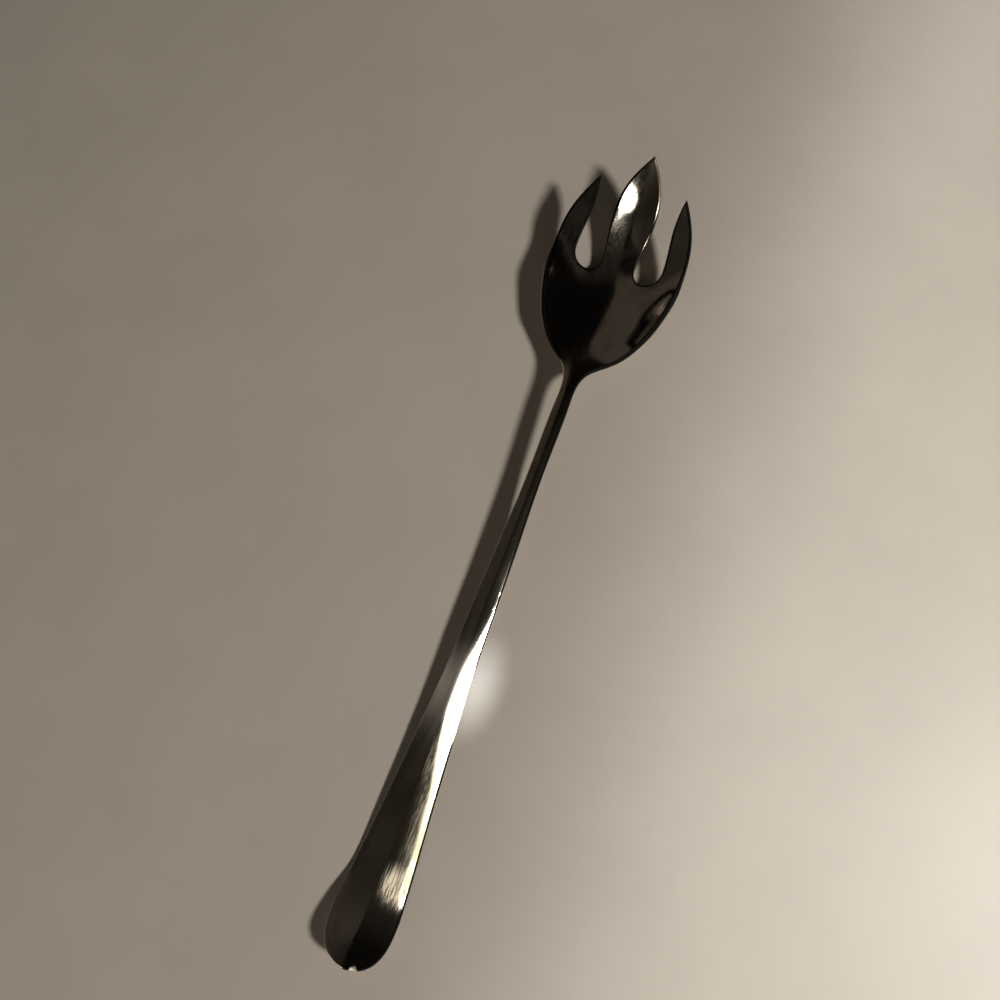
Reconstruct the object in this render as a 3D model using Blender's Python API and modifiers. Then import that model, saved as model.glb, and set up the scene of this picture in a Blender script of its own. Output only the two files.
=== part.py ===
"""Salad serving fork: one struck piece of metal with a hollow bowl, three tines and a flared handle.

The fork lies along +Y on its back, tines forward, and touches z = 0 under the bowl and under the handle.
A station is a distance along the fork from the end of the handle.
"""

import bpy
import bmesh
import numpy as np

# Lengths in metres
LENGTH = 0.250
END_LENGTH = 0.014
SLOT_STATION = 0.2143
TINE_STATION = 0.2396
LEAF_STATION = 0.2326

# Half width of handle, stem and head, from the rounded end to the widest part of the head
SIDE = (
    (END_LENGTH, 0.0094), (0.026, 0.0084), (0.042, 0.0070), (0.064, 0.0054), (0.090, 0.0038),
    (0.117, 0.0031), (0.145, 0.0023), (0.166, 0.0023), (0.174, 0.0027), (0.178, 0.0045),
    (0.1845, 0.0108), (0.197, 0.0181), (0.208, 0.0208), (0.2145, 0.0214),
)
HEAD_STATION, HEAD_HALF_WIDTH = SIDE[-1]
END_BLUNTNESS = 3.3

# Tines: half width of the leaf-shaped middle one, and distances of the outer ones from the centre line
LEAF_WAIST = 0.0056
LEAF_HALF_WIDTH = 0.0069
LEAF_POINT = 2.35
TINE_ROOT = 0.0144
TINE_TIP = 0.0140
TINE_BOW = 0.0013
TINE_BOW_SHARE = 0.7
TINE_BLUNTNESS = 8.0
TINE_POINT = 2.75

# Height of the middle of the metal along the centre line
SPINE = (
    (0.0, 0.0070), (0.007, 0.0043), (0.014, 0.0024), (0.024, 0.00108), (0.036, 0.0014), (0.050, 0.0022),
    (0.058, 0.0030), (0.066, 0.0037), (0.074, 0.0042), (0.082, 0.0045), (0.090, 0.00455), (0.100, 0.0046),
    (0.112, 0.0050), (0.125, 0.0058), (0.138, 0.0067), (0.155, 0.0079), (0.168, 0.0087), (0.176, 0.0085),
    (0.184, 0.0058), (0.193, 0.0027), (0.203, 0.00082), (0.212, 0.0011), (0.218, 0.0024), (0.224, 0.0040),
    (0.2305, 0.0053), (0.2355, 0.0068), (0.241, 0.00985), (0.2465, 0.0141), (LENGTH, 0.0173),
)

# Thickness of the metal along the centre line
THICKNESS = (
    (0.0, 0.0018), (0.012, 0.0023), (0.024, 0.0026), (0.045, 0.0030), (0.064, 0.0033), (0.090, 0.0034),
    (0.110, 0.0031), (0.125, 0.0026), (0.138, 0.0022), (0.155, 0.0020), (0.176, 0.0020), (0.200, 0.0020),
    (0.225, 0.0019), (LENGTH, 0.0013),
)

# Width of the rounding along the edges
EDGE_ROUND = (
    (0.0, 0.0003), (0.064, 0.0003), (0.130, 0.0004), (0.170, 0.0004), (LENGTH, 0.0003),
)

# The bowl rises from its centre line by a curve times the distance squared, more steeply towards its rim
BOWL_CURVE = 18.0
RIM_CURVE = 12.0
RIM_START = 0.010
BOWL_START, BOWL_FULL = 0.179, 0.192

# The outer tines are nearly level across: over the centre line by a rise that grows towards their tips
TINE_RISE = 0.0030
TINE_CLIMB = 0.14
TINE_TILT = 0.20

# They leave the bowl's curve between these stations, from this far out, and at their outer sides later
TINE_START, TINE_FULL = 0.200, 0.220
TINE_INSIDE = 0.0030
TINE_LAG = 0.003
TINE_LAG_REACH = (0.0130, 0.0210)

# The middle tine is folded like a leaf: walls of this slope meet in a round bottom
LEAF_SLOPE = 0.44
LEAF_BOTTOM = 0.0019
LEAF_START, LEAF_FULL = 0.224, 0.239

# Before the fold, the root of the middle tine is flatter across than the bowl by this share
LEAF_FLAT = 0.8
LEAF_FLAT_START, LEAF_FLAT_FULL = 0.212, 0.224

# The handle has a ridge with a sloping flank on each side; the flanks start this far from the centre line
FLANK_START = (
    (0.0, 0.0085), (0.012, 0.0078), (0.021, 0.0066), (0.033, 0.0054), (0.042, 0.0046), (0.050, 0.0036),
    (0.058, 0.0020), (0.066, 0.0008), (0.074, 0.0001), (0.082, 0.0003), (0.090, 0.0011), (0.098, 0.0016),
    (0.110, 0.0014), (0.125, 0.0012), (0.170, 0.0012),
)

# Slope and rounding of the flanks on the handle and on the stem, and the stations where they change
FLANK_SLOPE, STEM_SLOPE = 0.43, 0.34
STEM_FADE = (0.096, 0.114)
FLANK_ROUND, STEM_ROUND = 0.0006, 0.0012
ROUND_FADE = (0.080, 0.100)

# The ridge, and the stations over which it, the flanks and the flat back of the handle fade
RIDGE_SLOPE = 0.06
RIDGE_ROUND = 0.0005
RIDGE_FADE = (0.168, 0.182)
BEVEL_FADE = (0.012, 0.024)
FLAT_BACK_FADE = (0.100, 0.150)

# Mesh divisions
LEAF_COLUMNS = 4
SLOT_COLUMNS = 6
TINE_COLUMNS = 6
COLUMNS = LEAF_COLUMNS + SLOT_COLUMNS + TINE_COLUMNS
END_ZONE, END_ROWS = 0.040, 9
STEM_ZONE, STEM_ROWS = 0.172, 15
BOWL_ROWS = 17
LEAF_ROWS = 11
TINE_ROWS = 9
END_CROWDING = 1.6
OUTLINE_STEPS = 60
SIDE_STEPS = 240
EDGE_CROWDING = 0.6
SLOPE_STEP = 1e-5
SHORTEST_RUN = 1e-9

SLOT_RADIUS = (TINE_ROOT - LEAF_WAIST) / 2
SLOT_CENTRE = (TINE_ROOT + LEAF_WAIST) / 2
ROOT_STATION = SLOT_STATION + SLOT_RADIUS

METAL_COLOUR = (0.66, 0.62, 0.56, 1.0)
METAL_ROUGHNESS = 0.2


def clear_scene():
    """Removes whatever objects the file holds."""
    for item in list(bpy.data.objects):
        bpy.data.objects.remove(item, do_unlink=True)


def smooth_curve(points, level_end=False):
    """Natural cubic spline through design points, level at its far end if asked."""
    at, value = np.array(points).T
    gap = np.diff(at)
    slope = np.diff(value) / gap
    last = len(at) - 1
    system = np.eye(len(at))
    known = np.zeros(len(at))
    for i in range(1, last):
        system[i, i - 1:i + 2] = gap[i - 1], 2 * (gap[i - 1] + gap[i]), gap[i]
        known[i] = 6 * (slope[i] - slope[i - 1])
    if level_end:
        system[last, last - 1:] = gap[-1], 2 * gap[-1]
        known[last] = -6 * slope[-1]
    bend = np.linalg.solve(system, known)

    def curve(station):
        i = np.clip(np.searchsorted(at, station) - 1, 0, last - 1)
        ahead = at[i + 1] - station
        behind = station - at[i]
        cubic = (bend[i] * ahead ** 3 + bend[i + 1] * behind ** 3) / (6 * gap[i])
        from_left = (value[i] / gap[i] - bend[i] * gap[i] / 6) * ahead
        from_right = (value[i + 1] / gap[i] - bend[i + 1] * gap[i] / 6) * behind
        return cubic + from_left + from_right

    return curve


side = smooth_curve(SIDE, level_end=True)
spine = smooth_curve(SPINE)
centre_thickness = smooth_curve(THICKNESS)
edge_round = smooth_curve(EDGE_ROUND)
flank_start = smooth_curve(FLANK_START)


def fade(value, start, end):
    """Rises smoothly from 0 at start to 1 at end."""
    share = np.clip((value - start) / (end - start), 0.0, 1.0)
    return share * share * (3.0 - 2.0 * share)


def outer_edge(station):
    """Half width over the whole fork: handle, stem, head and the outer sides of the outer tines."""
    share = np.clip((station - HEAD_STATION) / (TINE_STATION - HEAD_STATION), 0.0, 1.0)
    drawn_in = (HEAD_HALF_WIDTH - TINE_TIP) * share ** TINE_POINT
    return side(np.clip(station, END_LENGTH, HEAD_STATION)) - drawn_in


def inner_edge(station):
    """Inner side of an outer tine, bowed inwards from its root, then turning out to a blunt tip."""
    share = np.clip((station - ROOT_STATION) / (TINE_STATION - ROOT_STATION), 0.0, 1.0)
    bowed = TINE_ROOT - TINE_BOW * fade(share, 0.0, TINE_BOW_SHARE)
    return bowed + (TINE_TIP - TINE_ROOT + TINE_BOW) * share ** TINE_BLUNTNESS


def leaf_edge(station):
    """Half width of the middle tine: a waist, a leaf and a point."""
    swell = (LEAF_HALF_WIDTH - LEAF_WAIST) * fade(station, ROOT_STATION, LEAF_STATION)
    share = np.clip((station - LEAF_STATION) / (LENGTH - LEAF_STATION), 0.0, 1.0)
    return LEAF_WAIST + swell - LEAF_HALF_WIDTH * share ** LEAF_POINT


def end_arc(share):
    """Station on the rounded end at a share of its half width."""
    return END_LENGTH * (1.0 - (1.0 - share ** 2) ** (1.0 / END_BLUNTNESS))


def ramp(distance, rounding):
    """Zero below zero, then rising one for one, with a rounded start."""
    rounded = (distance + rounding) ** 2 / (4 * rounding)
    return np.where(np.abs(distance) < rounding, rounded, np.maximum(distance, 0.0))


def thickness(x, station):
    """Thickness of the metal: ridged with sloping flanks on handle and stem, even in the head."""
    start = np.maximum(flank_start(np.minimum(station, FLANK_START[-1][0])), 0.0)
    on_stem = fade(station, *STEM_FADE)
    rounding = FLANK_ROUND + (STEM_ROUND - FLANK_ROUND) * fade(station, *ROUND_FADE)
    flank = ramp(np.abs(x) - start, rounding) - ramp(-start, rounding)
    ridge = ramp(np.abs(x), RIDGE_ROUND) - ramp(0.0, RIDGE_ROUND)
    slope = FLANK_SLOPE + (STEM_SLOPE - FLANK_SLOPE) * on_stem
    slope = slope * fade(station, *BEVEL_FADE)
    drop = (slope * flank + RIDGE_SLOPE * ridge) * (1.0 - fade(station, *RIDGE_FADE))
    return centre_thickness(station) - drop


def middle(x, station):
    """Height of the middle of the metal above the table."""
    flat_back = 1.0 - fade(station, *FLAT_BACK_FADE)
    lean = flat_back * (centre_thickness(station) - thickness(x, station)) / 2
    rim = np.maximum(np.abs(x) - RIM_START, 0.0)
    bowl = (BOWL_CURVE * x ** 2 + RIM_CURVE * rim ** 2) * fade(station, BOWL_START, BOWL_FULL)
    inside = TINE_INSIDE + (LEAF_HALF_WIDTH - TINE_INSIDE) * fade(station, TINE_START, ROOT_STATION)
    in_tine = fade(np.abs(x), inside, TINE_TIP - TINE_BOW)
    rise = TINE_RISE + TINE_CLIMB * (station - SLOT_STATION)
    level = rise + TINE_TILT * (np.abs(x) - TINE_TIP) - bowl
    lag = TINE_LAG * fade(np.abs(x), *TINE_LAG_REACH)
    tine = level * fade(station - lag, TINE_START, TINE_FULL) * in_tine
    fold = LEAF_SLOPE * LEAF_BOTTOM * np.log(np.cosh(x / LEAF_BOTTOM))
    folded = fade(station, LEAF_START, LEAF_FULL)
    flat = LEAF_FLAT * fade(station, LEAF_FLAT_START, LEAF_FLAT_FULL) * (1.0 - folded)
    leaf = (fold * folded - flat * bowl) * (1.0 - in_tine)
    return spine(station) + bowl + tine + leaf - lean


def outline():
    """The half outline in plan, as a polyline from the end of the handle round to the tip of the leaf."""
    share = np.sin(np.linspace(0.0, np.pi / 2, OUTLINE_STEPS))
    turn = np.linspace(np.pi, 0.0, OUTLINE_STEPS)
    along = np.linspace(END_LENGTH, TINE_STATION, SIDE_STEPS)
    back = np.linspace(TINE_STATION, ROOT_STATION, OUTLINE_STEPS)
    leaf = np.linspace(ROOT_STATION, LENGTH, OUTLINE_STEPS)
    x = (share * outer_edge(END_LENGTH), outer_edge(along), inner_edge(back),
         SLOT_CENTRE - SLOT_RADIUS * np.cos(turn), leaf_edge(leaf))
    station = (end_arc(share), along, back, ROOT_STATION - SLOT_RADIUS * np.sin(turn), leaf)
    return np.column_stack((np.concatenate(x), np.concatenate(station)))


def edge_distance(x, station):
    """Distance in plan from each point to the outline."""
    line = outline()
    start = line[:-1]
    run = line[1:] - start
    length = np.maximum((run ** 2).sum(axis=1), SHORTEST_RUN ** 2)
    points = np.stack((x, station), axis=-1)[..., None, :]
    share = np.clip(((points - start) * run).sum(axis=-1) / length, 0.0, 1.0)
    gap = points - start - share[..., None] * run
    return np.sqrt((gap ** 2).sum(axis=-1).min(axis=-1))


def skins(x, station, on_edge):
    """Upper and lower surface points of a grid in plan; they meet where on_edge is set."""
    rise_x = (middle(x + SLOPE_STEP, station) - middle(x - SLOPE_STEP, station)) / (2 * SLOPE_STEP)
    rise_y = (middle(x, station + SLOPE_STEP) - middle(x, station - SLOPE_STEP)) / (2 * SLOPE_STEP)
    normal = np.stack((-rise_x, -rise_y, np.ones_like(x)), axis=-1)
    normal /= np.linalg.norm(normal, axis=-1, keepdims=True)
    inset = np.clip(edge_distance(x, station) / edge_round(station), 0.0, 1.0)
    half = thickness(x, station) / 2 * np.sqrt(1.0 - (1.0 - inset) ** 2)
    half = np.where(on_edge, 0.0, half)[..., None]
    centre = np.stack((x, station - LENGTH / 2, middle(x, station)), axis=-1)
    upper = centre + normal * half
    lower = centre - normal * half
    lower[..., 2] = np.maximum(lower[..., 2], 0.0)
    return upper, lower


def body_grid():
    """Plan grid of handle, stem and bowl, with rows curved round the end and round the slot."""
    even = np.linspace(0.0, 1.0, COLUMNS + 1)
    share = even + EDGE_CROWDING * (np.sin(even * np.pi / 2) - even)
    leaf = leaf_columns() * LEAF_WAIST
    turn = np.linspace(0.0, np.pi, SLOT_COLUMNS + 1)
    slot = SLOT_CENTRE - SLOT_RADIUS * np.cos(turn)
    dip = np.concatenate((np.zeros(LEAF_COLUMNS), SLOT_RADIUS * np.sin(turn), np.zeros(TINE_COLUMNS)))
    tine = TINE_ROOT + tine_columns() * (outer_edge(ROOT_STATION) - TINE_ROOT)
    root = np.concatenate((leaf[:-1], slot, tine[1:])) / outer_edge(ROOT_STATION - dip)

    end = END_ZONE * np.linspace(0.0, 1.0, END_ROWS + 1)[:-1] ** END_CROWDING
    stem = np.linspace(END_ZONE, STEM_ZONE, STEM_ROWS + 1)[:-1]
    bowl = np.linspace(STEM_ZONE, ROOT_STATION, BOWL_ROWS + 1)
    row = np.concatenate((end, stem, bowl))[:, None]
    rounding = np.clip(1.0 - row / END_ZONE, 0.0, 1.0)
    parting = fade(row, STEM_ZONE, ROOT_STATION)
    station = row + rounding * end_arc(share) - parting * dip
    width = np.where(rounding > 0.0, outer_edge(station[:, -1:]), outer_edge(station))
    x = (share + parting * (root - share)) * width
    on_edge = np.zeros_like(x, dtype=bool)
    on_edge[0] = True
    on_edge[:, -1] = True
    on_edge[-1, LEAF_COLUMNS:LEAF_COLUMNS + SLOT_COLUMNS + 1] = True
    return x, station, on_edge


def leaf_columns():
    """Shares across half the middle tine, closer towards its edge."""
    return np.sin(np.linspace(0.0, np.pi / 2, LEAF_COLUMNS + 1))


def tine_columns():
    """Shares across an outer tine, closer towards both edges."""
    return (1.0 - np.cos(np.linspace(0.0, np.pi, TINE_COLUMNS + 1))) / 2


def leaf_grid():
    """Plan grid of half the middle tine, from its root to the row before its point."""
    station = np.linspace(ROOT_STATION, LENGTH, LEAF_ROWS + 1)[:-1, None] + np.zeros(LEAF_COLUMNS + 1)
    x = leaf_columns() * leaf_edge(station)
    on_edge = np.zeros_like(x, dtype=bool)
    on_edge[:, -1] = True
    return x, station, on_edge


def tine_grid():
    """Plan grid of an outer tine, from its root to the row before its point."""
    station = np.linspace(ROOT_STATION, TINE_STATION, TINE_ROWS + 1)[:-1, None] + np.zeros(TINE_COLUMNS + 1)
    inner = inner_edge(station)
    x = inner + tine_columns() * (outer_edge(station) - inner)
    on_edge = np.zeros_like(x, dtype=bool)
    on_edge[:, [0, -1]] = True
    return x, station, on_edge


def add_sheet(bm, grid, first_rows=None):
    """Adds both skins of a grid; first_rows holds vertices that its first row shares with the body."""
    upper, lower = skins(*grid)
    on_edge = grid[2]
    top, bottom = [], []
    for r in range(upper.shape[0]):
        if r == 0 and first_rows:
            top.append(first_rows[0])
            bottom.append(first_rows[1])
            continue
        above = [bm.verts.new(point) for point in upper[r]]
        below = [above[c] if on_edge[r, c] else bm.verts.new(lower[r, c]) for c in range(upper.shape[1])]
        top.append(above)
        bottom.append(below)
    for r in range(len(top) - 1):
        for c in range(len(top[0]) - 1):
            bm.faces.new((top[r][c], top[r][c + 1], top[r + 1][c + 1], top[r + 1][c]))
            bm.faces.new((bottom[r + 1][c], bottom[r + 1][c + 1], bottom[r][c + 1], bottom[r][c]))
    return top, bottom


def close_point(bm, top, bottom, x, station):
    """Closes a tine at its point."""
    point = bm.verts.new((x, station - LENGTH / 2, float(middle(x, station))))
    for c in range(len(top[-1]) - 1):
        bm.faces.new((top[-1][c], top[-1][c + 1], point))
        bm.faces.new((point, bottom[-1][c + 1], bottom[-1][c]))


def half_fork():
    """Mesh of the half of the fork at x > 0, open on the plane of symmetry."""
    bm = bmesh.new()
    top, bottom = add_sheet(bm, body_grid())
    leaf_rows = (top[-1][:LEAF_COLUMNS + 1], bottom[-1][:LEAF_COLUMNS + 1])
    tine_rows = (top[-1][-TINE_COLUMNS - 1:], bottom[-1][-TINE_COLUMNS - 1:])
    leaf = add_sheet(bm, leaf_grid(), leaf_rows)
    close_point(bm, *leaf, 0.0, LENGTH)
    tine = add_sheet(bm, tine_grid(), tine_rows)
    close_point(bm, *tine, TINE_TIP, TINE_STATION)
    mesh = bpy.data.meshes.new("fork")
    bm.to_mesh(mesh)
    bm.free()
    mesh.shade_smooth()
    return mesh


def metal():
    """Polished white metal with a warm cast."""
    material = bpy.data.materials.new("polished_metal")
    material.use_nodes = True
    shader = material.node_tree.nodes["Principled BSDF"]
    shader.inputs["Base Color"].default_value = METAL_COLOUR
    shader.inputs["Metallic"].default_value = 1.0
    shader.inputs["Roughness"].default_value = METAL_ROUGHNESS
    material.diffuse_color = METAL_COLOUR
    return material


def main():
    clear_scene()
    parts = bpy.data.collections.new("salad_fork")
    bpy.context.scene.collection.children.link(parts)
    fork = bpy.data.objects.new("fork", half_fork())
    fork.data.materials.append(metal())
    parts.objects.link(fork)
    mirror = fork.modifiers.new("both_halves", "MIRROR")
    mirror.use_axis = (True, False, False)
    mirror.use_clip = True
    mirror.merge_threshold = 1e-6


main()
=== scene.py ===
"""Looks of the salad serving fork: its fine surface in old silver plate, with floor, lights and camera.

Lengths are in metres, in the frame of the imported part: the fork lies along +Y, tines forward, on z = 0.
A station is a distance along the fork from the end of the handle.
"""

import math

import bmesh
import bpy
import numpy as np
from mathutils import Matrix, Vector


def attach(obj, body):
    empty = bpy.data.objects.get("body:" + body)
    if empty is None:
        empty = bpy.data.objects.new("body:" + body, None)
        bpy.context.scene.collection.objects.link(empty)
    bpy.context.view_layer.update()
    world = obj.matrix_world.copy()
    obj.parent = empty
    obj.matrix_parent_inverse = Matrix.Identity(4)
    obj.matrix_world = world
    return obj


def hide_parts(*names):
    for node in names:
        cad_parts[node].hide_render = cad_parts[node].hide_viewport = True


# Lengths along the fork
LENGTH = 0.250
END_LENGTH = 0.014
SLOT_STATION = 0.2143
TINE_STATION = 0.2396
LEAF_STATION = 0.2326

# Half width of handle, stem and head, from the rounded end to the widest part of the head
SIDE = (
    (END_LENGTH, 0.0094), (0.026, 0.0084), (0.042, 0.0070), (0.064, 0.0054), (0.090, 0.0038),
    (0.117, 0.0031), (0.145, 0.0023), (0.166, 0.0023), (0.174, 0.0027), (0.178, 0.0045),
    (0.1845, 0.0108), (0.197, 0.0181), (0.208, 0.0208), (0.2145, 0.0214),
)
HEAD_STATION, HEAD_HALF_WIDTH = SIDE[-1]
END_BLUNTNESS = 3.3

# Tines: half width of the leaf-shaped middle one, and distances of the outer ones from the centre line
LEAF_WAIST = 0.0056
LEAF_HALF_WIDTH = 0.0069
LEAF_POINT = 2.35
TINE_ROOT = 0.0144
TINE_TIP = 0.0140
TINE_BOW = 0.0013
TINE_BOW_SHARE = 0.7
TINE_BLUNTNESS = 8.0
TINE_POINT = 2.75

# Height of the middle of the metal along the centre line
SPINE = (
    (0.0, 0.0070), (0.007, 0.0043), (0.014, 0.0024), (0.024, 0.00108), (0.036, 0.0014), (0.050, 0.0022),
    (0.058, 0.0030), (0.066, 0.0037), (0.074, 0.0042), (0.082, 0.0045), (0.090, 0.00455), (0.100, 0.0046),
    (0.112, 0.0050), (0.125, 0.0058), (0.138, 0.0067), (0.155, 0.0079), (0.168, 0.0087), (0.176, 0.0085),
    (0.184, 0.0058), (0.193, 0.0027), (0.203, 0.00082), (0.212, 0.0011), (0.218, 0.0024), (0.224, 0.0040),
    (0.2305, 0.0053), (0.2355, 0.0068), (0.241, 0.00985), (0.2465, 0.0141), (LENGTH, 0.0173),
)

# Thickness of the metal along the centre line
THICKNESS = (
    (0.0, 0.0018), (0.012, 0.0023), (0.024, 0.0026), (0.045, 0.0030), (0.064, 0.0033), (0.090, 0.0034),
    (0.110, 0.0031), (0.125, 0.0026), (0.138, 0.0022), (0.155, 0.0020), (0.176, 0.0020), (0.200, 0.0020),
    (0.225, 0.0019), (LENGTH, 0.0013),
)

# Width of the rounding along the edges
EDGE_ROUND = (
    (0.0, 0.0003), (0.064, 0.0003), (0.130, 0.0004), (0.170, 0.0004), (LENGTH, 0.0003),
)

# The bowl rises from its centre line by a curve times the distance squared, more steeply towards its rim
BOWL_CURVE = 18.0
RIM_CURVE = 12.0
RIM_START = 0.010
BOWL_START, BOWL_FULL = 0.179, 0.192

# The outer tines are nearly level across: over the centre line by a rise that grows towards their tips
TINE_RISE = 0.0030
TINE_CLIMB = 0.14
TINE_TILT = 0.20

# They leave the bowl's curve between these stations, from this far out, and at their outer sides later
TINE_START, TINE_FULL = 0.200, 0.220
TINE_INSIDE = 0.0030
TINE_LAG = 0.003
TINE_LAG_REACH = (0.0130, 0.0210)

# The middle tine is folded like a leaf: walls of this slope meet in a round bottom
LEAF_SLOPE = 0.44
LEAF_BOTTOM = 0.0019
LEAF_START, LEAF_FULL = 0.224, 0.239

# Before the fold, the root of the middle tine is flatter across than the bowl by this share
LEAF_FLAT = 0.8
LEAF_FLAT_START, LEAF_FLAT_FULL = 0.212, 0.224

# The handle has a ridge with a sloping flank on each side; the flanks start this far from the centre line
FLANK_START = (
    (0.0, 0.0085), (0.012, 0.0078), (0.021, 0.0066), (0.033, 0.0054), (0.042, 0.0046), (0.050, 0.0036),
    (0.058, 0.0020), (0.066, 0.0008), (0.074, 0.0001), (0.082, 0.0003), (0.090, 0.0011), (0.098, 0.0016),
    (0.110, 0.0014), (0.125, 0.0012), (0.170, 0.0012),
)

# Slope and rounding of the flanks on the handle and on the stem, and the stations where they change
FLANK_SLOPE, STEM_SLOPE = 0.43, 0.34
STEM_FADE = (0.096, 0.114)
FLANK_ROUND, STEM_ROUND = 0.0006, 0.0012
ROUND_FADE = (0.080, 0.100)

# The ridge, and the stations over which it, the flanks and the flat back of the handle fade
RIDGE_SLOPE = 0.06
RIDGE_ROUND = 0.0005
RIDGE_FADE = (0.168, 0.182)
BEVEL_FADE = (0.012, 0.024)
FLAT_BACK_FADE = (0.100, 0.150)

# Mesh divisions, fine enough for even reflections
LEAF_COLUMNS = 12
SLOT_COLUMNS = 18
TINE_COLUMNS = 16
COLUMNS = LEAF_COLUMNS + SLOT_COLUMNS + TINE_COLUMNS
END_ZONE, END_ROWS = 0.040, 46
STEM_ZONE, STEM_ROWS = 0.172, 90
BOWL_ROWS = 90
LEAF_ROWS = 60
TINE_ROWS = 50
END_CROWDING = 1.6
OUTLINE_STEPS = 60
SIDE_STEPS = 240
EDGE_CROWDING = 0.85
SLOPE_STEP = 1e-5
SHORTEST_RUN = 1e-9
MERGE_GAP = 1e-6

# Slots between the tines: their round ends, where the tines part, and where the marks beside them begin
SLOT_RADIUS = (TINE_ROOT - LEAF_WAIST) / 2
SLOT_CENTRE = (TINE_ROOT + LEAF_WAIST) / 2
ROOT_STATION = SLOT_STATION + SLOT_RADIUS
SLOT_SIDES = SLOT_STATION - SLOT_RADIUS / 2

# Camera of the photograph; its heading is how far the top of the picture turns from +Y, in degrees
CAMERA_PLACE = (0.0238, -0.0363, 0.2233)
CAMERA_TARGET = (-0.0080, 0.0083, 0.0)
CAMERA_HEADING = 21.24
CAMERA_LENS = 27.0
SENSOR = 36.0
CLIP_START = 0.01

# Floor: its paint, with painted light that makes it paler to the right, towards the lamp, over a reach in
# x; faint stains and a fine grain
FLOOR_SIZE = 20.0
FLOOR_GAP = 0.0001
FLOOR_COLOUR = (0.335, 0.297, 0.255, 1.0)
FLOOR_PAINTED_LIGHT = (0.570, 0.525, 0.462, 1.0)
FLOOR_PAINTED_LIGHT_REACH = (0.005, 0.095)
FLOOR_STAIN = (0.05, 0.045, 0.04, 1.0)
FLOOR_STAIN_SHARE = 0.07
FLOOR_STAIN_SIZE = 0.05
FLOOR_ROUGHNESS = 0.5
FLOOR_SHEEN = 0.5
FLOOR_GRAIN = 0.0006
FLOOR_GRAIN_DEPTH = 2e-5
FLOOR_GRAIN_STRENGTH = 0.3

# Lamps
LAMP_PLACE = (0.909, -0.077, 0.842)
LAMP_WIDTH = 0.18
LAMP_POWER = 18.0
LAMP_COLOUR = (1.0, 0.96, 0.90)
FILL_PLACE = (-0.2, -2.0, 0.9)
FILL_SIZE = (3.0, 1.2)
FILL_POWER = 13.5
FILL_COLOUR = (1.0, 0.93, 0.84)

# Room that the metal mirrors: a ceiling, darker ahead and on the right, and a wall on the left, paler ahead
CEILING_BEHIND = (0.018, 0.0148, 0.0115, 1.0)
CEILING_AHEAD = (0.0025, 0.002, 0.0016, 1.0)
WALL_BEHIND = (0.021, 0.0174, 0.0137, 1.0)
WALL_AHEAD = (0.046, 0.038, 0.030, 1.0)

# Spans of the direction's y and x over which the room turns from behind to ahead and darkens to the right
AHEAD = (-0.1, 0.3)
DARK_SIDE = (0.05, 0.30)

# Border of the wall, leaning and further right behind; its slanting foot; and the paler strip below
WALL_LEAN = (1.0, 0.0, 0.2)
WALL_SIDE = (-0.085, -0.03)
WALL_TURN = (0.0, 0.38, 0.12, 0.0)
WALL_SLANT = (0.0, 0.42, 1.0)
WALL_FOOT = (0.53, 0.63)
LOW_COLOUR = (0.062, 0.052, 0.042, 1.0)
LOW_TOP = (0.06, 0.12)

# Painted light: a glow in the floor's emission that stands for the light which the flank of the handle
# throws onto the table
GLEAM_PLACE = (0.0055, -0.046)
GLEAM_REACH = (0.0105, 0.019)
GLEAM_STRENGTH = 0.42
GLEAM_COLOUR = (1.0, 0.97, 0.91, 1.0)

# Soft glows in the room: direction, focus and colour
GLOWS = (
    ((0.733, -0.062, 0.678), 60.0, (0.160, 0.140, 0.105, 1.0)),
    ((-0.35, -0.85, 0.40), 10.0, (0.060, 0.050, 0.040, 1.0)),
    ((0.300, 0.080, 0.951), 80.0, (0.020, 0.0173, 0.0133, 1.0)),
)

# Silver plate: colours of metal, tarnish, worn places, and the dark lines along its edges
SILVER = (0.74, 0.70, 0.63, 1.0)
TARNISH = (0.50, 0.43, 0.34, 1.0)
RUBBED_TINT = (0.80, 0.74, 0.50, 1.0)
WORN_TINT = (0.78, 0.69, 0.54, 1.0)
DARK_EDGE_COLOUR = (0.004, 0.0035, 0.003, 1.0)
DARK_EDGE_SHEEN = 0.1
ANISOTROPY = 0.45

# Grains of its polish, brushing and tarnish along x, y and z, and how deep polish and brushing are
POLISH_GRAIN = (0.00035, 0.012, 0.00035)
BRUSH_GRAIN = (0.0011, 0.030, 0.0011)
TARNISH_GRAIN = (0.016, 0.024, 0.016)
POLISH_DEPTH, BRUSH_DEPTH = 3e-6, 4e-6

# Spans of a noise's values: nearly all of them, and those that show as tarnish
NOISE_SPAN = (0.3, 0.7)
TARNISH_SPAN = (0.46, 0.70)

# Two sets of scratches: how far each turns from the fork's length, in radians, and its grain
SCRATCHES = (
    (0.30, (0.0012, 0.030, 0.010)),
    (-0.22, (0.0010, 0.024, 0.010)),
)
SCRATCH_SPAN = 0.008
SCRATCH_DEPTH = 2e-6

# Roughness of the brushed metal, and what tarnish, the dark edge lines, rubbing and wear add to it
GLOSS = (0.06, 0.09)
TARNISH_DULL = 0.05
DARK_EDGE_DULL = 0.85
BEVEL_DULL = 0.20
WEAR_DULL = (0.09, 0.31)

# Reach in x over which the right half's marks give way to the left half's, and in x times y for the wear
SIDE_REACH = (-0.0002, 0.0002)
WEAR_SIDE_REACH = (-4e-5, 0.0)

# Worn places: a strip on the handle, its bevel and the edge of the middle tine
WEAR_START, WEAR_END = (0.016, 0.021), (0.054, 0.068)
WEAR_REACH = (-0.0050, -0.0008)
WEAR_LIMIT = (-0.0003, 0.0004)
BEVEL_WEAR_START, BEVEL_WEAR_END = (0.017, 0.021), (0.062, 0.078)
EDGE_REACH = (0.0003, 0.0006)
EDGE_SHINE = 0.7

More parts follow.
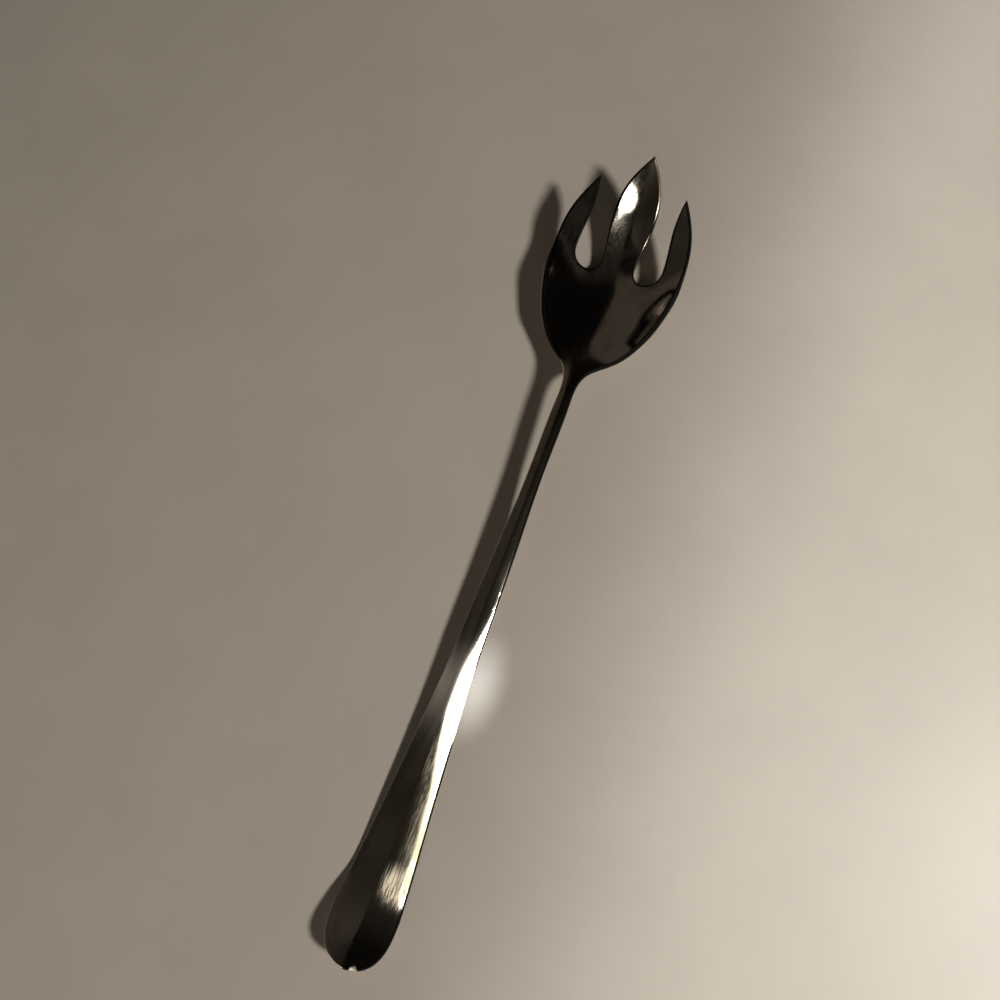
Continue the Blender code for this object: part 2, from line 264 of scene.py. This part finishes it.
# Single worn patches: place, soft reach and strength; the last is at the very end of the handle
TIP_PLACE = (0.0026, 0.0004)
PATCHES = (
    ((0.0055, 0.0225), (0.0015, 0.0085), 2.0),
    ((0.0030, 0.2270), (0.0025, 0.0085), 0.62),
    ((0.0046, 0.2388), (0.0024, 0.0050), 1.0),
    ((0.0020, 0.2455), (0.0030, 0.0060), 0.32),
    (TIP_PLACE, (0.0005, 0.0014), 2.2),
)

# Satin where the hand holds the handle, more so on its left
SATIN_START, SATIN_END = (0.050, 0.078), (0.078, 0.099)
SATIN_REACH = (-0.0018, 0.0018)
SATIN_DULL = (0.44, 0.10)

# Dark, dull lines along the upper edges: how far in they reach, and the share from which they are no metal
DARK_EDGE_REACH = (0.0004, 0.0007)
DARK_EDGE_SOLID = 0.4

# Where the right edge has no dark line, on the handle and at its very end
SPARED_START, SPARED_END = (0.056, 0.066), (0.080, 0.090)
SPARED_TIP = (0.0010, 0.0017)

# On the left, the dark lines are inside the slots and, more faintly, along the rim of the bowl
SLOT_REACH = (0.0150, 0.0165)
RIM_DARK_EDGE = (0.176, 0.184)
RIM_DARK_SHARE = 0.7

# On the middle tine it is faint on the right, fading out forwards, and narrower by a share on the left
LEAF_REACH = (0.0060, 0.0085)
LEAF_DARK_SHARE = 0.33
LEAF_DARK_FADE = (0.226, 0.244)
LEAF_THIN = 0.5

# Painted shade: a dark patch at the root of the middle tine that darkens what the metal mirrors there
ROOT_SHADE_PLACE = (0.0038, 0.2195)
ROOT_SHADE_REACH = (0.0020, 0.0055)
ROOT_SHADE = 0.28

# Shift that puts the middle of the fork half way up the square of its plan
HALF_WAY = Vector((0.0, 0.5))

# Marks kept with the vertices
LAYERS = ("wear", "bevel", "satin", "dark_right", "dark_left")


def smooth_curve(points, level_end=False):
    """Natural cubic spline through design points, level at its far end if asked."""
    at, value = np.array(points).T
    gap = np.diff(at)
    slope = np.diff(value) / gap
    last = len(at) - 1
    system = np.eye(len(at))
    known = np.zeros(len(at))
    for i in range(1, last):
        system[i, i - 1:i + 2] = gap[i - 1], 2 * (gap[i - 1] + gap[i]), gap[i]
        known[i] = 6 * (slope[i] - slope[i - 1])
    if level_end:
        system[last, last - 1:] = gap[-1], 2 * gap[-1]
        known[last] = -6 * slope[-1]
    bend = np.linalg.solve(system, known)

    def curve(station):
        i = np.clip(np.searchsorted(at, station) - 1, 0, last - 1)
        ahead = at[i + 1] - station
        behind = station - at[i]
        cubic = (bend[i] * ahead ** 3 + bend[i + 1] * behind ** 3) / (6 * gap[i])
        from_left = (value[i] / gap[i] - bend[i] * gap[i] / 6) * ahead
        from_right = (value[i + 1] / gap[i] - bend[i + 1] * gap[i] / 6) * behind
        return cubic + from_left + from_right

    return curve


side = smooth_curve(SIDE, level_end=True)
spine = smooth_curve(SPINE)
centre_thickness = smooth_curve(THICKNESS)
edge_round = smooth_curve(EDGE_ROUND)
flank_start = smooth_curve(FLANK_START)


def fade(value, start, end):
    """Rises smoothly from 0 at start to 1 at end."""
    share = np.clip((value - start) / (end - start), 0.0, 1.0)
    return share * share * (3.0 - 2.0 * share)


def outer_edge(station):
    """Half width over the whole fork: handle, stem, head and the outer sides of the outer tines."""
    share = np.clip((station - HEAD_STATION) / (TINE_STATION - HEAD_STATION), 0.0, 1.0)
    drawn_in = (HEAD_HALF_WIDTH - TINE_TIP) * share ** TINE_POINT
    return side(np.clip(station, END_LENGTH, HEAD_STATION)) - drawn_in


def inner_edge(station):
    """Inner side of an outer tine, bowed inwards from its root, then turning out to a blunt tip."""
    share = np.clip((station - ROOT_STATION) / (TINE_STATION - ROOT_STATION), 0.0, 1.0)
    bowed = TINE_ROOT - TINE_BOW * fade(share, 0.0, TINE_BOW_SHARE)
    return bowed + (TINE_TIP - TINE_ROOT + TINE_BOW) * share ** TINE_BLUNTNESS


def leaf_edge(station):
    """Half width of the middle tine: a waist, a leaf and a point."""
    swell = (LEAF_HALF_WIDTH - LEAF_WAIST) * fade(station, ROOT_STATION, LEAF_STATION)
    share = np.clip((station - LEAF_STATION) / (LENGTH - LEAF_STATION), 0.0, 1.0)
    return LEAF_WAIST + swell - LEAF_HALF_WIDTH * share ** LEAF_POINT


def end_arc(share):
    """Station on the rounded end at a share of its half width."""
    return END_LENGTH * (1.0 - (1.0 - share ** 2) ** (1.0 / END_BLUNTNESS))


def ramp(distance, rounding):
    """Zero below zero, then rising one for one, with a rounded start."""
    rounded = (distance + rounding) ** 2 / (4 * rounding)
    return np.where(np.abs(distance) < rounding, rounded, np.maximum(distance, 0.0))


def thickness(x, station):
    """Thickness of the metal: ridged with sloping flanks on handle and stem, even in the head."""
    start = np.maximum(flank_start(np.minimum(station, FLANK_START[-1][0])), 0.0)
    on_stem = fade(station, *STEM_FADE)
    rounding = FLANK_ROUND + (STEM_ROUND - FLANK_ROUND) * fade(station, *ROUND_FADE)
    flank = ramp(np.abs(x) - start, rounding) - ramp(-start, rounding)
    ridge = ramp(np.abs(x), RIDGE_ROUND) - ramp(0.0, RIDGE_ROUND)
    slope = FLANK_SLOPE + (STEM_SLOPE - FLANK_SLOPE) * on_stem
    slope = slope * fade(station, *BEVEL_FADE)
    drop = (slope * flank + RIDGE_SLOPE * ridge) * (1.0 - fade(station, *RIDGE_FADE))
    return centre_thickness(station) - drop


def middle(x, station):
    """Height of the middle of the metal above the table."""
    flat_back = 1.0 - fade(station, *FLAT_BACK_FADE)
    lean = flat_back * (centre_thickness(station) - thickness(x, station)) / 2
    rim = np.maximum(np.abs(x) - RIM_START, 0.0)
    bowl = (BOWL_CURVE * x ** 2 + RIM_CURVE * rim ** 2) * fade(station, BOWL_START, BOWL_FULL)
    inside = TINE_INSIDE + (LEAF_HALF_WIDTH - TINE_INSIDE) * fade(station, TINE_START, ROOT_STATION)
    in_tine = fade(np.abs(x), inside, TINE_TIP - TINE_BOW)
    rise = TINE_RISE + TINE_CLIMB * (station - SLOT_STATION)
    level = rise + TINE_TILT * (np.abs(x) - TINE_TIP) - bowl
    lag = TINE_LAG * fade(np.abs(x), *TINE_LAG_REACH)
    tine = level * fade(station - lag, TINE_START, TINE_FULL) * in_tine
    fold = LEAF_SLOPE * LEAF_BOTTOM * np.log(np.cosh(x / LEAF_BOTTOM))
    folded = fade(station, LEAF_START, LEAF_FULL)
    flat = LEAF_FLAT * fade(station, LEAF_FLAT_START, LEAF_FLAT_FULL) * (1.0 - folded)
    leaf = (fold * folded - flat * bowl) * (1.0 - in_tine)
    return spine(station) + bowl + tine + leaf - lean


def outline():
    """The half outline in plan, as a polyline from the end of the handle round to the tip of the leaf."""
    share = np.sin(np.linspace(0.0, np.pi / 2, OUTLINE_STEPS))
    turn = np.linspace(np.pi, 0.0, OUTLINE_STEPS)
    along = np.linspace(END_LENGTH, TINE_STATION, SIDE_STEPS)
    back = np.linspace(TINE_STATION, ROOT_STATION, OUTLINE_STEPS)
    leaf = np.linspace(ROOT_STATION, LENGTH, OUTLINE_STEPS)
    x = (share * outer_edge(END_LENGTH), outer_edge(along), inner_edge(back),
         SLOT_CENTRE - SLOT_RADIUS * np.cos(turn), leaf_edge(leaf))
    station = (end_arc(share), along, back, ROOT_STATION - SLOT_RADIUS * np.sin(turn), leaf)
    return np.column_stack((np.concatenate(x), np.concatenate(station)))


def edge_distance(x, station):
    """Distance in plan from each point of a row to the outline."""
    line = outline()
    start = line[:-1]
    run = line[1:] - start
    length = np.maximum((run ** 2).sum(axis=1), SHORTEST_RUN ** 2)
    points = np.stack((x, station), axis=-1)[..., None, :]
    share = np.clip(((points - start) * run).sum(axis=-1) / length, 0.0, 1.0)
    gap = points - start - share[..., None] * run
    return np.sqrt((gap ** 2).sum(axis=-1).min(axis=-1))


def skins(x, station, on_edge):
    """Upper and lower surface points of a grid in plan, and how far in from the edge each one is."""
    rise_x = (middle(x + SLOPE_STEP, station) - middle(x - SLOPE_STEP, station)) / (2 * SLOPE_STEP)
    rise_y = (middle(x, station + SLOPE_STEP) - middle(x, station - SLOPE_STEP)) / (2 * SLOPE_STEP)
    normal = np.stack((-rise_x, -rise_y, np.ones_like(x)), axis=-1)
    normal /= np.linalg.norm(normal, axis=-1, keepdims=True)
    distance = np.array([edge_distance(*row) for row in zip(x, station)])
    distance = np.where(on_edge, 0.0, distance)
    inset = np.clip(distance / edge_round(station), 0.0, 1.0)
    half = thickness(x, station) / 2 * np.sqrt(1.0 - (1.0 - inset) ** 2)
    centre = np.stack((x, station - LENGTH / 2, middle(x, station)), axis=-1)
    upper = centre + normal * half[..., None]
    lower = centre - normal * half[..., None]
    lower[..., 2] = np.maximum(lower[..., 2], 0.0)
    return upper, lower, distance


def body_grid():
    """Plan grid of handle, stem and bowl, with rows curved round the end and round the slot."""
    even = np.linspace(0.0, 1.0, COLUMNS + 1)
    share = even + EDGE_CROWDING * (np.sin(even * np.pi / 2) - even)
    leaf = leaf_columns() * LEAF_WAIST
    turn = np.linspace(0.0, np.pi, SLOT_COLUMNS + 1)
    slot = SLOT_CENTRE - SLOT_RADIUS * np.cos(turn)
    dip = np.concatenate((np.zeros(LEAF_COLUMNS), SLOT_RADIUS * np.sin(turn), np.zeros(TINE_COLUMNS)))
    tine = TINE_ROOT + tine_columns() * (outer_edge(ROOT_STATION) - TINE_ROOT)
    root = np.concatenate((leaf[:-1], slot, tine[1:])) / outer_edge(ROOT_STATION - dip)

    end = END_ZONE * np.linspace(0.0, 1.0, END_ROWS + 1)[:-1] ** END_CROWDING
    stem = np.linspace(END_ZONE, STEM_ZONE, STEM_ROWS + 1)[:-1]
    bowl = np.linspace(STEM_ZONE, ROOT_STATION, BOWL_ROWS + 1)
    row = np.concatenate((end, stem, bowl))[:, None]
    rounding = np.clip(1.0 - row / END_ZONE, 0.0, 1.0)
    parting = fade(row, STEM_ZONE, ROOT_STATION)
    station = row + rounding * end_arc(share) - parting * dip
    width = np.where(rounding > 0.0, outer_edge(station[:, -1:]), outer_edge(station))
    x = (share + parting * (root - share)) * width
    on_edge = np.zeros_like(x, dtype=bool)
    on_edge[0] = True
    on_edge[:, -1] = True
    on_edge[-1, LEAF_COLUMNS:LEAF_COLUMNS + SLOT_COLUMNS + 1] = True
    return x, station, on_edge


def leaf_columns():
    """Shares across half the middle tine, closer towards its edge."""
    return np.sin(np.linspace(0.0, np.pi / 2, LEAF_COLUMNS + 1))


def tine_columns():
    """Shares across an outer tine, closer towards both edges."""
    return (1.0 - np.cos(np.linspace(0.0, np.pi, TINE_COLUMNS + 1))) / 2


def leaf_grid():
    """Plan grid of half the middle tine, from its root to the row before its point."""
    station = np.linspace(ROOT_STATION, LENGTH, LEAF_ROWS + 1)[:-1, None] + np.zeros(LEAF_COLUMNS + 1)
    x = leaf_columns() * leaf_edge(station)
    on_edge = np.zeros_like(x, dtype=bool)
    on_edge[:, -1] = True
    return x, station, on_edge


def tine_grid():
    """Plan grid of an outer tine, from its root to the row before its point."""
    station = np.linspace(ROOT_STATION, TINE_STATION, TINE_ROWS + 1)[:-1, None] + np.zeros(TINE_COLUMNS + 1)
    inner = inner_edge(station)
    x = inner + tine_columns() * (outer_edge(station) - inner)
    on_edge = np.zeros_like(x, dtype=bool)
    on_edge[:, [0, -1]] = True
    return x, station, on_edge


def near(x, station, place, reach):
    """1 close to a place, 0 away from it, with a soft change over the reach."""
    return 1.0 - fade(np.hypot(np.abs(x) - place[0], station - place[1]), *reach)


def wear(x, station):
    """How worn the metal is: 1 on the strip, and as strong as PATCHES says on the patches."""
    past_ridge = np.abs(x) - flank_start(np.minimum(station, WEAR_END[1]))
    strip = fade(past_ridge, *WEAR_REACH) * (1.0 - fade(past_ridge, *WEAR_LIMIT))
    most = strip * fade(station, *WEAR_START) * (1.0 - fade(station, *WEAR_END))
    for place, reach, share in PATCHES:
        most = np.maximum(most, share * near(x, station, place, reach))
    return most


def on_leaf(x, station):
    """1 on the middle tine and 0 elsewhere, with a soft change."""
    return (station > SLOT_SIDES) * (1.0 - fade(x, *LEAF_REACH))


def bevel_wear(x, station, distance):
    """How rubbed the bevel of the handle and the edge of the middle tine are."""
    past_ridge = np.abs(x) - flank_start(np.minimum(station, FLANK_START[-1][0]))
    along = fade(station, *BEVEL_WEAR_START) * (1.0 - fade(station, *BEVEL_WEAR_END))
    edge = EDGE_SHINE * on_leaf(x, station) * (1.0 - fade(distance, *EDGE_REACH))
    return np.maximum(fade(past_ridge, *WEAR_LIMIT) * along, edge)


def dark_edges(x, station, distance):
    """How dark and dull the edges are, from 0 to 1, on the right half and on the left half; the right half
    also holds painted shade at the root of the middle tine.
    """
    edge = 1.0 - fade(distance, *DARK_EDGE_REACH)
    thin_edge = 1.0 - fade(distance / (1.0 - LEAF_THIN * on_leaf(x, station)), *DARK_EDGE_REACH)
    spared = fade(station, *SPARED_START) * (1.0 - fade(station, *SPARED_END))
    spared = np.maximum(spared, near(x, station, TIP_PLACE, SPARED_TIP))
    inside = (station > SLOT_SIDES) * (1.0 - fade(x, *SLOT_REACH))
    rim = fade(station, *RIM_DARK_EDGE)
    leaf = on_leaf(x, station) * (1.0 - LEAF_DARK_SHARE * (1.0 - fade(station, *LEAF_DARK_FADE)))
    right = edge * (1.0 - spared) * (1.0 - leaf)
    # Painted shade: a dark patch at the root of the middle tine, darkening what the metal mirrors there
    right = np.maximum(right, ROOT_SHADE * near(x, station, ROOT_SHADE_PLACE, ROOT_SHADE_REACH))
    left = thin_edge * np.maximum(inside, RIM_DARK_SHARE * rim)
    return right, left


def add_sheet(bm, grid, first_rows=None):
    """Adds both skins of a grid; first_rows holds vertices that its first row shares with the body."""
    upper, lower, distance = skins(*grid)
    x, station, on_edge = grid
    satin = fade(station, *SATIN_START) * (1.0 - fade(station, *SATIN_END))
    marks = (wear(x, station), bevel_wear(x, station, distance), satin)
    upper_marks = dict(zip(LAYERS, (*marks, *dark_edges(x, station, distance))))
    lower_marks = dict(zip(LAYERS, marks))
    layers = bm.verts.layers.float
    top, bottom = [], []

    def vertex(point, values, row, column):
        made = bm.verts.new(point)
        for name, value in values.items():
            made[layers[name]] = value[row, column]
        return made

    for r in range(upper.shape[0]):
        if r == 0 and first_rows:
            top.append(first_rows[0])
            bottom.append(first_rows[1])
            continue
        above = [vertex(point, upper_marks, r, c) for c, point in enumerate(upper[r])]
        below = [vertex(point, lower_marks, r, c) if not on_edge[r, c] else above[c]
                 for c, point in enumerate(lower[r])]
        top.append(above)
        bottom.append(below)
    for r in range(len(top) - 1):
        for c in range(len(top[0]) - 1):
            bm.faces.new((top[r][c], top[r][c + 1], top[r + 1][c + 1], top[r + 1][c]))
            bm.faces.new((bottom[r + 1][c], bottom[r + 1][c + 1], bottom[r][c + 1], bottom[r][c]))
    return top, bottom


def close_point(bm, top, bottom, x, station):
    """Closes a tine at its point."""
    point = bm.verts.new((x, station - LENGTH / 2, float(middle(x, station))))
    for c in range(len(top[-1]) - 1):
        bm.faces.new((top[-1][c], top[-1][c + 1], point))
        bm.faces.new((point, bottom[-1][c + 1], bottom[-1][c]))


def half_fork():
    """Mesh of the half of the fork at x > 0, open on the plane of symmetry."""
    bm = bmesh.new()
    for name in LAYERS:
        bm.verts.layers.float.new(name)
    top, bottom = add_sheet(bm, body_grid())
    leaf_rows = (top[-1][:LEAF_COLUMNS + 1], bottom[-1][:LEAF_COLUMNS + 1])
    tine_rows = (top[-1][-TINE_COLUMNS - 1:], bottom[-1][-TINE_COLUMNS - 1:])
    leaf = add_sheet(bm, leaf_grid(), leaf_rows)
    close_point(bm, *leaf, 0.0, LENGTH)
    tine = add_sheet(bm, tine_grid(), tine_rows)
    close_point(bm, *tine, TINE_TIP, TINE_STATION)
    plan = bm.loops.layers.uv.new("plan")
    for face in bm.faces:
        for corner in face.loops:
            corner[plan].uv = corner.vert.co.xy / LENGTH + HALF_WAY
    mesh = bpy.data.meshes.new("silver_fork")
    bm.to_mesh(mesh)
    bm.free()
    mesh.shade_smooth()
    return mesh


class Nodes:
    """Short ways to add and join the nodes of one node tree."""

    def __init__(self, owner):
        owner.use_nodes = True
        self.tree = owner.node_tree

    def add(self, kind, settings=None, **inputs):
        """Adds a node; an input is a value or another node's output."""
        made = self.tree.nodes.new(kind)
        for name, value in (settings or {}).items():
            setattr(made, name, value)
        for name, value in inputs.items():
            self.put(made.inputs[name.replace("_", " ")], value)
        return made

    def put(self, socket, value):
        """Sets a socket to a value, or links it to an output."""
        if isinstance(value, bpy.types.NodeSocket):
            self.tree.links.new(value, socket)
        else:
            socket.default_value = value

    def layer(self, name):
        """The value of a vertex layer."""
        return self.add("ShaderNodeAttribute", {"attribute_name": name}).outputs["Fac"]

    def maths(self, operation, first, second):
        """One sum on two numbers or outputs."""
        made = self.tree.nodes.new("ShaderNodeMath")
        made.operation = operation
        self.put(made.inputs[0], first)
        self.put(made.inputs[1], second)
        return made.outputs[0]

    def dot(self, vector, other):
        """Dot product of an output and a fixed vector."""
        made = self.tree.nodes.new("ShaderNodeVectorMath")
        made.operation = "DOT_PRODUCT"
        self.put(made.inputs[0], vector)
        self.put(made.inputs[1], other)
        return made.outputs["Value"]

    def length(self, vector):
        """Length of a vector output."""
        made = self.tree.nodes.new("ShaderNodeVectorMath")
        made.operation = "LENGTH"
        self.put(made.inputs[0], vector)
        return made.outputs["Value"]

    def span(self, value, start, end, low=0.0, high=1.0):
        """Carries a value from the range start to end over to low to high, with soft ends."""
        made = self.add("ShaderNodeMapRange", {"interpolation_type": "SMOOTHSTEP"}, Value=value)
        for name, number in zip(("From Min", "From Max", "To Min", "To Max"), (start, end, low, high)):
            made.inputs[name].default_value = number
        return made.outputs["Result"]

    def blend(self, share, first, second, kind="MIX"):
        """Mixes two colours, or adds a share of the second to the first."""
        made = self.tree.nodes.new("ShaderNodeMix")
        made.data_type = "RGBA"
        made.blend_type = kind
        self.put(made.inputs[0], share)
        self.put(made.inputs[6], first)
        self.put(made.inputs[7], second)
        return made.outputs[2]

    def noise(self, place, grain, detail=2.0, roughness=0.5, turn=(0.0, 0.0, 0.0)):
        """Noise whose grains have the given sizes along x, y and z."""
        scale = tuple(1.0 / size for size in grain)
        turned = self.add("ShaderNodeMapping", Vector=place, Rotation=turn).outputs[0]
        mapped = self.add("ShaderNodeMapping", Vector=turned, Scale=scale).outputs[0]
        made = self.add("ShaderNodeTexNoise", Vector=mapped, Scale=1.0, Detail=detail, Roughness=roughness)
        return made.outputs["Fac"]


def silver_plate():
    """Old silver plate: warm, polished along its length, scratched by use, a little tarnished."""
    material = bpy.data.materials.new("old_silver_plate")
    nodes = Nodes(material)
    shader = nodes.tree.nodes["Principled BSDF"]
    place = nodes.add("ShaderNodeTexCoord").outputs["Object"]
    worn, bevel, satin, right, left = (nodes.layer(name) for name in LAYERS)
    axes = nodes.add("ShaderNodeSeparateXYZ", Vector=place).outputs

    # Wear is on the right of the handle and on the left of the head
    turned = nodes.maths("MULTIPLY", axes["X"], axes["Y"])
    worn = nodes.maths("MULTIPLY", worn, nodes.span(turned, *WEAR_SIDE_REACH, 1.0, 0.0))

    # Each half has its own dark edge lines; the right half's also hold painted shade at the root of the
    # middle tine
    on_right = nodes.span(axes["X"], *SIDE_REACH)
    on_left = nodes.span(axes["X"], *SIDE_REACH, 1.0, 0.0)
    edge_dark_right = nodes.maths("MULTIPLY", right, on_right)
    edge_dark = nodes.maths("ADD", edge_dark_right, nodes.maths("MULTIPLY", left, on_left))

    polish = nodes.noise(place, POLISH_GRAIN, detail=3.0, roughness=0.6)
    brush = nodes.noise(place, BRUSH_GRAIN, detail=3.0, roughness=0.55)
    tarnish = nodes.span(nodes.noise(place, TARNISH_GRAIN, detail=6.0, roughness=0.6), *TARNISH_SPAN)

    # Scratches run where a stretched noise passes its middle value
    scratches = 0.0
    for turn, grain in SCRATCHES:
        field = nodes.noise(place, grain, detail=1.0, roughness=0.4, turn=(0.0, 0.0, turn))
        gap = nodes.maths("ABSOLUTE", nodes.maths("SUBTRACT", field, 0.5), 0.0)
        scratches = nodes.maths("MAXIMUM", nodes.span(gap, 0.0, SCRATCH_SPAN, 1.0, 0.0), scratches)

    # Colour: dark edge lines and painted shade, and no metal where the dark lines are strongest
    rubbed = nodes.maths("MULTIPLY", bevel, on_right)
    metal = nodes.blend(tarnish, SILVER, TARNISH)
    metal = nodes.blend(worn, metal, WORN_TINT)
    metal = nodes.blend(rubbed, metal, RUBBED_TINT)
    nodes.put(shader.inputs["Base Color"], nodes.blend(nodes.span(edge_dark, 0.0, DARK_EDGE_SOLID), metal, DARK_EDGE_COLOUR))
    no_metal = nodes.span(edge_dark, DARK_EDGE_SOLID, 1.0)
    nodes.put(shader.inputs["Metallic"], nodes.maths("SUBTRACT", 1.0, no_metal))
    shader.inputs["Anisotropic"].default_value = ANISOTROPY
    shader.inputs["Specular IOR Level"].default_value = DARK_EDGE_SHEEN

    # Roughness: each mark adds its own
    held = nodes.span(axes["X"], *SATIN_REACH, *SATIN_DULL)
    dull = nodes.span(polish, *NOISE_SPAN, *WEAR_DULL)
    rough = nodes.span(brush, *NOISE_SPAN, *GLOSS)
    even = ((tarnish, TARNISH_DULL), (no_metal, DARK_EDGE_DULL), (rubbed, BEVEL_DULL))
    for mark, added in (*even, (satin, held), (worn, dull)):
        rough = nodes.maths("ADD", rough, nodes.maths("MULTIPLY", mark, added))
    nodes.put(shader.inputs["Roughness"], rough)

    # Relief of polish, brushing and scratches, and the direction of the polish
    fine = nodes.add("ShaderNodeBump", Height=polish, Strength=1.0, Distance=POLISH_DEPTH).outputs[0]
    brushed = nodes.add("ShaderNodeBump", Height=brush, Strength=1.0, Distance=BRUSH_DEPTH, Normal=fine)
    cut = nodes.add("ShaderNodeBump", {"invert": True}, Height=scratches, Distance=SCRATCH_DEPTH,
                    Normal=brushed.outputs[0])
    nodes.put(shader.inputs["Normal"], cut.outputs[0])
    tangent = nodes.add("ShaderNodeTangent", {"direction_type": "UV_MAP", "uv_map": "plan"}).outputs[0]
    nodes.put(shader.inputs["Tangent"], tangent)
    return material


def add_fork():
    """The fork's fine surface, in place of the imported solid."""
    fork = bpy.data.objects.new("silver_fork", half_fork())
    bpy.context.scene.collection.objects.link(fork)
    mirror = fork.modifiers.new("both_halves", "MIRROR")
    mirror.use_axis = (True, False, False)
    mirror.use_clip = True
    mirror.merge_threshold = MERGE_GAP
    fork.data.materials.append(silver_plate())
    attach(fork, "root")
    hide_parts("fork")


def floor_paint():
    """Pale painted table top, faintly mottled, with painted light: paler to the right, towards the lamp,
    and a painted glow for the light that the handle throws onto it.
    """
    material = bpy.data.materials.new("pale_table")
    nodes = Nodes(material)
    shader = nodes.tree.nodes["Principled BSDF"]
    place = nodes.add("ShaderNodeTexCoord").outputs["Object"]
    mottle = nodes.noise(place, (FLOOR_STAIN_SIZE,) * 3, detail=5.0, roughness=0.6)
    stained = nodes.span(mottle, *NOISE_SPAN, FLOOR_STAIN_SHARE, 0.0)
    across = nodes.add("ShaderNodeSeparateXYZ", Vector=place).outputs["X"]
    # Painted light: the paint turns paler to the right, towards the lamp
    lit_paint = nodes.blend(nodes.span(across, *FLOOR_PAINTED_LIGHT_REACH), FLOOR_COLOUR, FLOOR_PAINTED_LIGHT)
    nodes.put(shader.inputs["Base Color"], nodes.blend(stained, lit_paint, FLOOR_STAIN))
    shader.inputs["Roughness"].default_value = FLOOR_ROUGHNESS
    shader.inputs["Specular IOR Level"].default_value = FLOOR_SHEEN
    # Painted light: a soft glow in the floor's emission beside the handle, for the light that its flank
    # throws onto the table
    shift = (-GLEAM_PLACE[0], -GLEAM_PLACE[1], 0.0)
    off = nodes.add("ShaderNodeMapping", Vector=place, Location=shift).outputs[0]
    scale = (1 / GLEAM_REACH[0], 1 / GLEAM_REACH[1], 1.0)
    scaled = nodes.add("ShaderNodeMapping", Vector=off, Scale=scale).outputs[0]
    gleam = nodes.span(nodes.length(scaled), 0.0, 1.0, GLEAM_STRENGTH, 0.0)
    shader.inputs["Emission Color"].default_value = GLEAM_COLOUR
    nodes.put(shader.inputs["Emission Strength"], gleam)
    grain = nodes.noise(place, (FLOOR_GRAIN,) * 3)
    bump = nodes.add("ShaderNodeBump", Height=grain, Strength=FLOOR_GRAIN_STRENGTH,
                     Distance=FLOOR_GRAIN_DEPTH)
    nodes.put(shader.inputs["Normal"], bump.outputs[0])
    return material


def add_floor():
    """The plain floor, a hair below the fork so that the two never share a plane."""
    half = FLOOR_SIZE / 2
    corners = [(-half, -half, 0.0), (half, -half, 0.0), (half, half, 0.0), (-half, half, 0.0)]
    mesh = bpy.data.meshes.new("floor")
    mesh.from_pydata(corners, [], [(0, 1, 2, 3)])
    floor = bpy.data.objects.new("floor", mesh)
    floor.location.z = -FLOOR_GAP
    mesh.materials.append(floor_paint())
    bpy.context.scene.collection.objects.link(floor)


def add_lamp(name, shape, place, size, power, colour):
    """An area lamp that faces the fork."""
    light = bpy.data.lights.new(name, "AREA")
    light.shape = shape
    light.size = size[0]
    light.size_y = size[-1]
    light.energy = power
    light.color = colour
    lamp = bpy.data.objects.new(name, light)
    lamp.location = place
    lamp.rotation_euler = (-Vector(place)).to_track_quat("-Z", "Y").to_euler()
    bpy.context.scene.collection.objects.link(lamp)


def add_lights():
    """One soft lamp from the right, a fill from behind, and a dim room with a wall on the left."""
    add_lamp("lamp", "DISK", LAMP_PLACE, (LAMP_WIDTH,), LAMP_POWER, LAMP_COLOUR)
    add_lamp("fill", "RECTANGLE", FILL_PLACE, FILL_SIZE, FILL_POWER, FILL_COLOUR)
    world = bpy.data.worlds.new("studio")
    bpy.context.scene.world = world
    nodes = Nodes(world)
    direction = nodes.add("ShaderNodeTexCoord").outputs["Generated"]
    axes = nodes.add("ShaderNodeSeparateXYZ", Vector=direction).outputs
    turn = nodes.span(axes["Y"], *WALL_TURN)
    aside = nodes.maths("SUBTRACT", nodes.dot(direction, WALL_LEAN), turn)
    above = nodes.span(nodes.dot(direction, WALL_SLANT), *WALL_FOOT)
    wall = nodes.maths("MULTIPLY", nodes.span(aside, *WALL_SIDE, 1.0, 0.0), above)
    ahead = nodes.span(axes["Y"], *AHEAD)
    darker = nodes.maths("MAXIMUM", ahead, nodes.span(axes["X"], *DARK_SIDE))
    ceiling = nodes.blend(darker, CEILING_BEHIND, CEILING_AHEAD)
    room = nodes.blend(wall, ceiling, nodes.blend(ahead, WALL_BEHIND, WALL_AHEAD))
    for aim, focus, tint in GLOWS:
        facing = nodes.maths("MAXIMUM", nodes.dot(direction, aim), 0.0)
        room = nodes.blend(nodes.maths("POWER", facing, focus), room, tint, "ADD")
    colour = nodes.blend(nodes.span(axes["Z"], *LOW_TOP), LOW_COLOUR, room)
    nodes.put(nodes.tree.nodes["Background"].inputs["Color"], colour)


def add_camera():
    """The camera of the photograph."""
    data = bpy.data.cameras.new("camera")
    data.lens = CAMERA_LENS
    data.sensor_width = SENSOR
    data.clip_start = CLIP_START
    camera = bpy.data.objects.new("camera", data)
    aim = (Vector(CAMERA_TARGET) - Vector(CAMERA_PLACE)).normalized()
    heading = math.radians(CAMERA_HEADING)
    right = aim.cross(Vector((-math.sin(heading), math.cos(heading), 0.0))).normalized()
    axes = Matrix((right, right.cross(aim), -aim)).transposed()
    camera.matrix_world = Matrix.LocRotScale(Vector(CAMERA_PLACE), axes, None)
    bpy.context.scene.collection.objects.link(camera)
    bpy.context.scene.camera = camera


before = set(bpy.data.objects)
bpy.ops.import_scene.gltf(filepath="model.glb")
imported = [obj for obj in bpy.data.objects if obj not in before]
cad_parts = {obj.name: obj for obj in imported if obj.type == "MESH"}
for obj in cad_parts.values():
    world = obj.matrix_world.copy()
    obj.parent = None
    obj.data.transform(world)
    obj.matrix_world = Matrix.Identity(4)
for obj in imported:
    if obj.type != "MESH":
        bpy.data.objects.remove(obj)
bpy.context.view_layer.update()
bpy.context.scene.view_settings.view_transform = "Standard"
add_fork()
add_floor()
add_lights()
add_camera()
